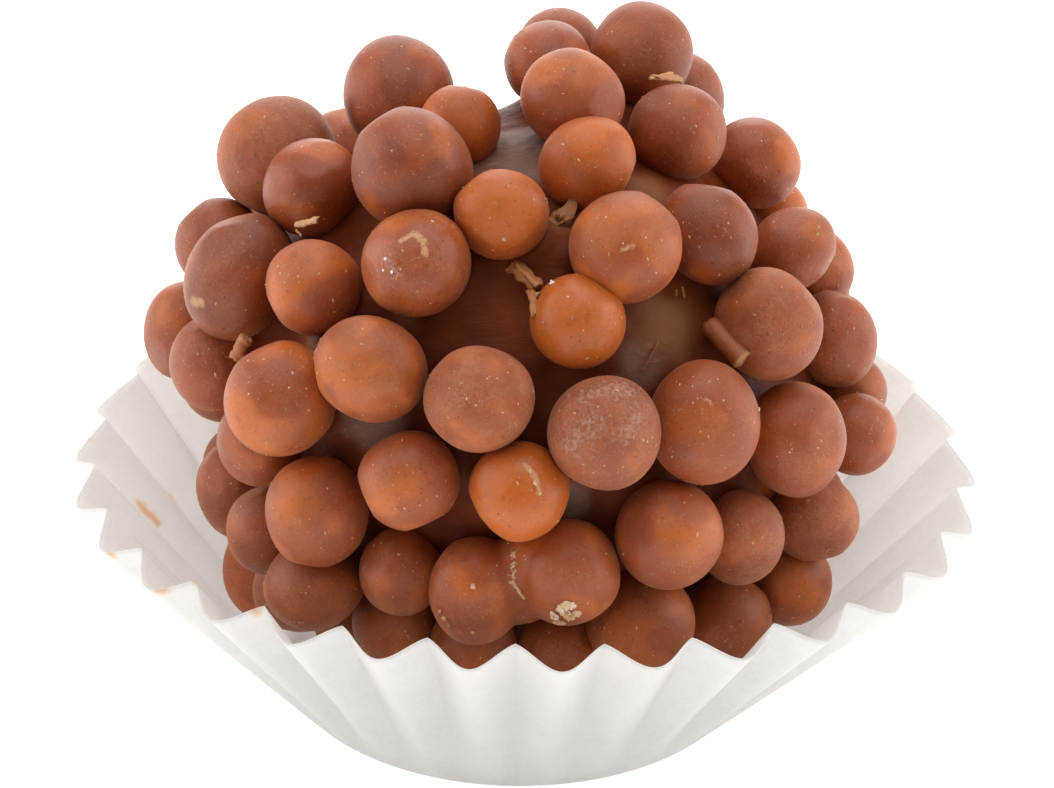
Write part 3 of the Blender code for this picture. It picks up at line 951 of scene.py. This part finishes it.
def rough_field(draw, rows, columns, passes):
    """A smooth random field over rows and columns, where the last column meets the first."""
    field = draw.normal(size=(rows, columns))
    for _ in range(passes):
        field = (np.roll(field, 1, axis=1) + field + np.roll(field, -1, axis=1)) / 3
        padded = np.concatenate([field[:1], field, field[-1:]])
        field = (padded[:-2] + padded[1:-1] + padded[2:]) / 3
    return field / field.std()


def bit_mesh(start, end, out, half_widths, half_thickness, bow, torn, draw, roughness, sway, rounded):
    """A closed lengthwise bit with an oval section, a rounded start and a torn end."""
    along = end - start
    axis = along / np.linalg.norm(along)
    side = np.cross(out, axis)
    side /= np.linalg.norm(side)
    up = np.cross(axis, side)
    share = np.linspace(0.0, 1.0, BIT_STATIONS)[:, None]
    angle = np.linspace(0.0, 2 * pi, BIT_AROUND, endpoint=False)[None]
    rough = 1.0 + roughness * rough_field(draw, BIT_STATIONS, BIT_AROUND, ROUGH_PASSES)
    rough = rough * np.sqrt(1.0 - (1.0 - np.clip((share + 0.01) / rounded, 0.0, 1.0)) ** 2)
    wide = (half_widths[0] * (1 - share) + half_widths[1] * share) * rough
    thick = half_thickness * rough
    sway = half_widths[1] * sway * rough_field(draw, BIT_STATIONS, 1, 8)
    pull = torn * draw.uniform(-1.0, 1.0, (1, BIT_AROUND)) * (np.exp(-share * 9) - np.exp((share - 1) * 9))
    points = start + share[..., None] * along
    points = points + pull[..., None] * axis
    points = points + (sway + wide * np.cos(angle))[..., None] * side
    points = points + (bow * np.sin(pi * share) + thick * np.sin(angle))[..., None] * up
    rings = points.reshape(-1, 3)
    caps = np.array([points[0].mean(axis=0), points[-1].mean(axis=0)])
    last = (BIT_STATIONS - 1) * BIT_AROUND
    sides = [(column, (column + 1) % BIT_AROUND) for column in range(BIT_AROUND)]
    faces = []
    for here in range(0, last, BIT_AROUND):
        there = here + BIT_AROUND
        faces += [[here + one, here + other, there + other, there + one] for one, other in sides]
    for one, other in sides:
        faces += [[len(rings), other, one], [len(rings) + 1, last + one, last + other]]
    return np.concatenate([rings, caps]), faces


def above_ball(longitude, latitude, height):
    """The point this far above the fudge ball, height in metres."""
    way = heading(longitude, latitude)
    return np.array(BALL_CENTRE + (ball_reach(way) + height) * way)


def build_bits(material):
    heap = Heap()
    for index, (start, end, first, last, thick, bow, torn, tone) in enumerate(BITS):
        ends = [above_ball(place[0], place[1], place[2] * MM) for place in (start, end)]
        out = np.array(heading(*start[:2]))
        draw = RandomState(BITS_SEED + index)
        widths = (first * MM, last * MM)
        shape = (widths, thick * MM, bow * MM, torn * MM)
        points, faces = bit_mesh(*ends, out, *shape, draw, BIT_ROUGHNESS, BIT_SWAY, BIT_ROUNDED)
        heap.add(points, faces, tone=tone)
    heap.build("slivers", material)


def build_rod(material):
    """The broken rod, with a rounded upper end and a pale broken lower one."""
    start, end = [above_ball(*place) for place in ROD_ENDS]
    out = np.array(heading(*ROD_ENDS[0][:2]))
    draw = RandomState(BITS_SEED)
    shape = ((0.98 * ROD_RADIUS, ROD_RADIUS), ROD_RADIUS, 0.0, ROD_TORN)
    points, faces = bit_mesh(start, end, out, *shape, draw, ROD_ROUGHNESS, 0.0, ROD_ROUNDED)
    share = (points - start) @ (end - start) / ((end - start) @ (end - start))
    tone = 0.22 + 0.5 * np.clip((share - 0.96) / 0.04, 0.0, 1.0)
    heap = Heap()
    heap.add(points, faces, tone=tone)
    heap.build("rod", material)


# Crumbs, and white crystals that are painted highlights, by their pearl's longitude and latitude: where on
# its outer face (east, north), how big (mm), how long compared with wide, and their tone.
CRUMBS_AND_GLINTS = {
    # the crumbling cluster on the twin pearl, and the lump under it
    (9, -9): (
        ((-0.4, -0.3), 0.44, 1.7, 1.2), ((-0.3, -0.1), 0.46, 1.5, 1.15), ((-0.2, 0.0), 0.5, 1.3, 1.1),
        ((-0.1, 0.0), 0.44, 1.2, 1.2), ((0.0, -0.2), 0.44, 1.4, 1.1), ((-0.2, -0.2), 0.5, 1.2, 0.95),
        ((-0.1, -0.3), 0.46, 1.3, 1.05), ((-0.3, -0.5), 0.6, 1.0, 1.05),
    ),
    # flakes on its left half
    (-8, -14): (
        ((0.1, 0.7), 0.22, 1.8, 1.1), ((-0.5, 0.0), 0.26, 1.8, 0.85), ((-0.6, 0.1), 0.22, 1.4, 0.9),
        ((-0.4, -0.1), 0.16, 1.6, 0.8), ((0.1, -0.2), 0.2, 1.5, 0.85),
    ),
    # painted highlights: white crystals on the glazed pearl where its gloss sparkles;
    # then grains of the pink crust on a toffee one
    (-28, 46): (
        ((-0.2, -0.3), 0.15, 1.3, 1.4), ((-0.2, -0.5), 0.13, 1.5, 1.3), ((0.0, -0.5), 0.15, 1.2, 1.4),
        ((0.3, 0.7), 0.12, 1.8, 1.2),
    ),
    (0, 8): (((0.2, 0.7), 0.16, 1.8, 1.1), ((0.3, 0.5), 0.18, 1.8, 1.1), ((0.4, 0.3), 0.14, 1.8, 1.0)),
    # a white crystal on the other, and single crumbs
    (13, 38): (((-0.5, 0.8), 0.26, 1.3, 1.5),),
    (-8, 59): (((0.2, -0.9), 0.16, 2.2, 0.9),),
    (35, 16): (((0.8, 0.1), 0.2, 1.4, 0.95),),
    (136, 61): (((0.7, -0.6), 0.16, 1.8, 0.9),),
    (46, -30): (((0.6, 0.6), 0.2, 1.5, 0.45), ((-0.4, 0.8), 0.17, 1.3, 0.0)),
}
CRUMB_SEED = 40
CRUMB_GRAINS = 12
# The two parts of the twin pearl's seam, on its middle ball: from and to (east, north), and half width.
SEAM_PEARL = (1, -12)
SEAM = (((-0.3, 0.9), (-0.3, 0.4), 0.035), ((-0.3, 0.4), (0.0, 0.1), 0.012))
SEAM_FLAKES = 26
SEAM_LARGEST = 0.09 * MM
SEAM_SEED = 9
DUST_SEED = 60
DUST_PER_PEARL = 16
DUST_SIZES = (0.022 * MM, 0.060 * MM)


def crumb_mesh(place, out, size, stretch, draw, detail=3):
    """A small rough lump that lies on what faces this way out."""
    ball, triangles = unit_ball(detail)
    radius = 1.0 + 0.13 * waves(ball, draw, 6, 2.6) + 0.09 * waves(ball, draw, 12, 8.0)
    shape = ball * radius[:, None] * (stretch * size, size, 0.7 * size)
    turned = draw.uniform(0, 2 * pi)
    side = np.cross(out, (cos(turned), sin(turned), 0.3))
    side /= np.linalg.norm(side)
    axes = np.array((side, np.cross(out, side), out))
    return place + shape @ axes, triangles


def pearl_out(pearl, points):
    """The directions away from the pearl's middle at these points."""
    return unit(points - np.array(pearl.matrix.translation))


def build_crumbs_and_glints(pearls, material):
    """The crumbs that lie on single pearls, and the white crystals that are painted highlights on the
    glazed one.
    """
    heap = Heap()
    rows = [(pearl_at(pearls, place), *row) for place, crumbs_and_glints in CRUMBS_AND_GLINTS.items() for row in crumbs_and_glints]
    for number, (pearl, side, size, stretch, tone) in enumerate(rows):
        point = on_pearl(pearl, outer_way(*side)[None])
        out = pearl_out(pearl, point)[0]
        draw = RandomState(CRUMB_SEED + number)
        half = 0.5 * size * MM
        points, faces = crumb_mesh(point[0], out, 0.8 * half, stretch, draw)
        heap.add(points, faces, tone=tone)
        for _ in range(CRUMB_GRAINS):
            way = draw.normal(size=3)
            way += out * (0.4 * abs(way @ out) - way @ out)
            place = point[0] + 0.8 * half * way / np.linalg.norm(way)
            points, faces = crumb_mesh(place, out, half * draw.uniform(0.2, 0.45), stretch, draw, 2)
            heap.add(points, faces, tone=tone + draw.uniform(-0.25, 0.15))
    heap.build("crumbs_and_glints", material)


def build_seam(pearls, skin, material):
    """The crust of small flakes along the twin pearl's seam."""
    matrix = pearl_at(pearls, SEAM_PEARL).matrix
    draw = RandomState(SEAM_SEED)
    heap = Heap()
    for start, end, half_width in SEAM:
        for _ in range(SEAM_FLAKES):
            share = draw.random_sample()
            east = start[0] + share * (end[0] - start[0]) + draw.normal() * half_width
            north = start[1] + share * (end[1] - start[1])
            way = matrix.to_3x3() @ Vector(outer_way(east, north))
            point, out, _, _ = skin.ray_cast(matrix.translation, way.normalized())
            size = draw.uniform(0.5, 1.0) * SEAM_LARGEST
            lump, faces = crumb_mesh(np.array(point), np.array(out), size, draw.uniform(1, 2), draw, 2)
            heap.add(lump, faces, tone=draw.uniform(0.7, 1.1))
    heap.build("seam", material)


def build_dust(pearls, material):
    """Fine pale dust: tiny flakes on the outside of the front pearls."""
    draw = RandomState(DUST_SEED)
    heap = Heap()
    for pearl in pearls:
        if not pearl.place or pearl.look == "twin":
            continue
        ways = draw.normal(size=(DUST_PER_PEARL, 3))
        ways[:, 2] = np.abs(ways[:, 2])
        points = on_pearl(pearl, unit(ways))
        for point, out in zip(points, pearl_out(pearl, points)):
            size = draw.uniform(*DUST_SIZES)
            lump, faces = crumb_mesh(point, out, size, draw.uniform(1.0, 2.6), draw, 1)
            heap.add(lump, faces, tone=draw.uniform(0.6, 1.0))
    heap.build("dust", material)


# ---- Paper case ----

PAPER = 0.08 * MM
STEPS_PER_PLEAT = 24
WALL_ROWS = 46
FLOOR_ROWS = 5

# Fat stains: angle round the case (degrees), from and to along the wall (share of its slant), half width
# (mm) and strength.
STAINS = (
    (-99, 0.97, 0.95, 0.22, 0.85), (-100, 0.92, 0.86, 0.18, 0.75), (-99, 0.8, 0.7, 0.15, 0.6),
    (-101, 0.64, 0.6, 0.3, 0.75), (-92, 0.73, 0.63, 0.26, 0.95), (-90, 0.55, 0.45, 0.12, 0.5),
    (-86, 0.43, 0.4, 0.28, 0.75), (-84, 0.88, 0.86, 0.3, 0.5), (-93, 1.0, 0.99, 0.2, 0.7),
    (-64, 1.0, 0.99, 0.4, 0.9), (-52, 1.0, 0.99, 0.5, 0.9), (-48, 1.0, 0.94, 0.16, 0.85),
    (-37, 1.0, 0.97, 0.3, 0.95),
)


def fold_strengths():
    """One factor for each fold, outer and inner in turn: real pleats aren't all as deep."""
    draw = RandomState(PLEAT_SEED)
    return 1.0 - PLEAT_UNEVENNESS * draw.random_sample(2 * PLEATS)


def pleat_wave(angle, strengths):
    """From 1 on an outer fold to -1 on an inner, sharper one."""
    turn = (angle / (2 * pi) * PLEATS + 0.5) % PLEATS
    phase = 2 * pi * turn
    round_wave = cos(phase)
    cusped_wave = 2 * abs(cos(phase / 2)) - 1
    wave = (1 - SHARP_INNER_FOLDS) * round_wave + SHARP_INNER_FOLDS * cusped_wave
    half = int(2 * turn) % (2 * PLEATS)
    share = 2 * turn % 1.0
    share = share * share * (3 - 2 * share)
    nearest = strengths[half] * (1 - share) + strengths[(half + 1) % (2 * PLEATS)] * share
    return wave * nearest


def wall_point(angle, slant, strengths):
    """The outside of the wall, this far up its slant."""
    lean = flare(angle)
    depth = 0.5 * PLEAT_DEPTH * (slant / WALL_SLANT) ** PLEAT_GROWTH
    proud = depth * pleat_wave(angle, strengths)
    radius = BASE_RADIUS + slant * sin(lean) + proud * cos(lean)
    height = slant * cos(lean) - proud * sin(lean)
    return round_case(angle, radius, max(height, 0.0))


def stain_strength(angle, slant):
    """From 0 to 1: how fat-stained the paper is here."""
    strength = 0.0
    for bearing, start, end, half_width, most in STAINS:
        radius = BASE_RADIUS + 0.6 * slant
        across = (angle - radians(bearing)) * radius
        share = slant / WALL_SLANT
        beyond = max(share - max(start, end), min(start, end) - share, 0.0) * WALL_SLANT
        off = hypot(across, beyond) / (half_width * MM)
        strength = max(strength, most * exp(-(off**2)))
    return strength


def build_case():
    """The case: a strip wrapped into floor and wall, then given the paper's thickness."""
    strengths = fold_strengths()
    around = PLEATS * STEPS_PER_PLEAT
    rows = FLOOR_ROWS + WALL_ROWS
    work = bmesh.new()
    bmesh.ops.create_grid(work, x_segments=around, y_segments=rows, size=1.0)
    stained = work.verts.layers.float.new("stain")
    for vertex in work.verts:
        angle = pi * vertex.co.x
        row = round((vertex.co.y + 1) / 2 * rows)
        if row <= FLOOR_ROWS:
            vertex.co = round_case(angle, BASE_RADIUS * row / FLOOR_ROWS, 0.0)
        else:
            slant = WALL_SLANT * (row - FLOOR_ROWS) / WALL_ROWS
            vertex.co = wall_point(angle, slant, strengths)
            vertex[stained] = stain_strength(angle, slant)
    bmesh.ops.remove_doubles(work, verts=work.verts, dist=WELD)
    bmesh.ops.recalc_face_normals(work, faces=work.faces)
    mesh = bpy.data.meshes.new("case")
    work.to_mesh(mesh)
    work.free()
    mesh.materials.append(paper_material())
    mesh.shade_smooth()
    case = new_object("case", mesh)
    thickness = case.modifiers.new("paper thickness", "SOLIDIFY")
    thickness.thickness = PAPER
    thickness.offset = -1.0
    dress(case, "paper_case")


# ---- The scene ----


def main():
    bpy.context.scene.view_settings.view_transform = "Standard"
    build_camera()
    build_light()
    build_floor()
    pearls = all_pearls()
    build_pearls(pearls)
    skin = build_twin(pearls)
    build_fudge(pearls)
    bits = bits_material()
    build_rod(bits)
    build_bits(bits)
    build_crumbs_and_glints(pearls, bits)
    build_seam(pearls, skin, bits)
    build_dust(pearls, bits)
    build_case()


main()
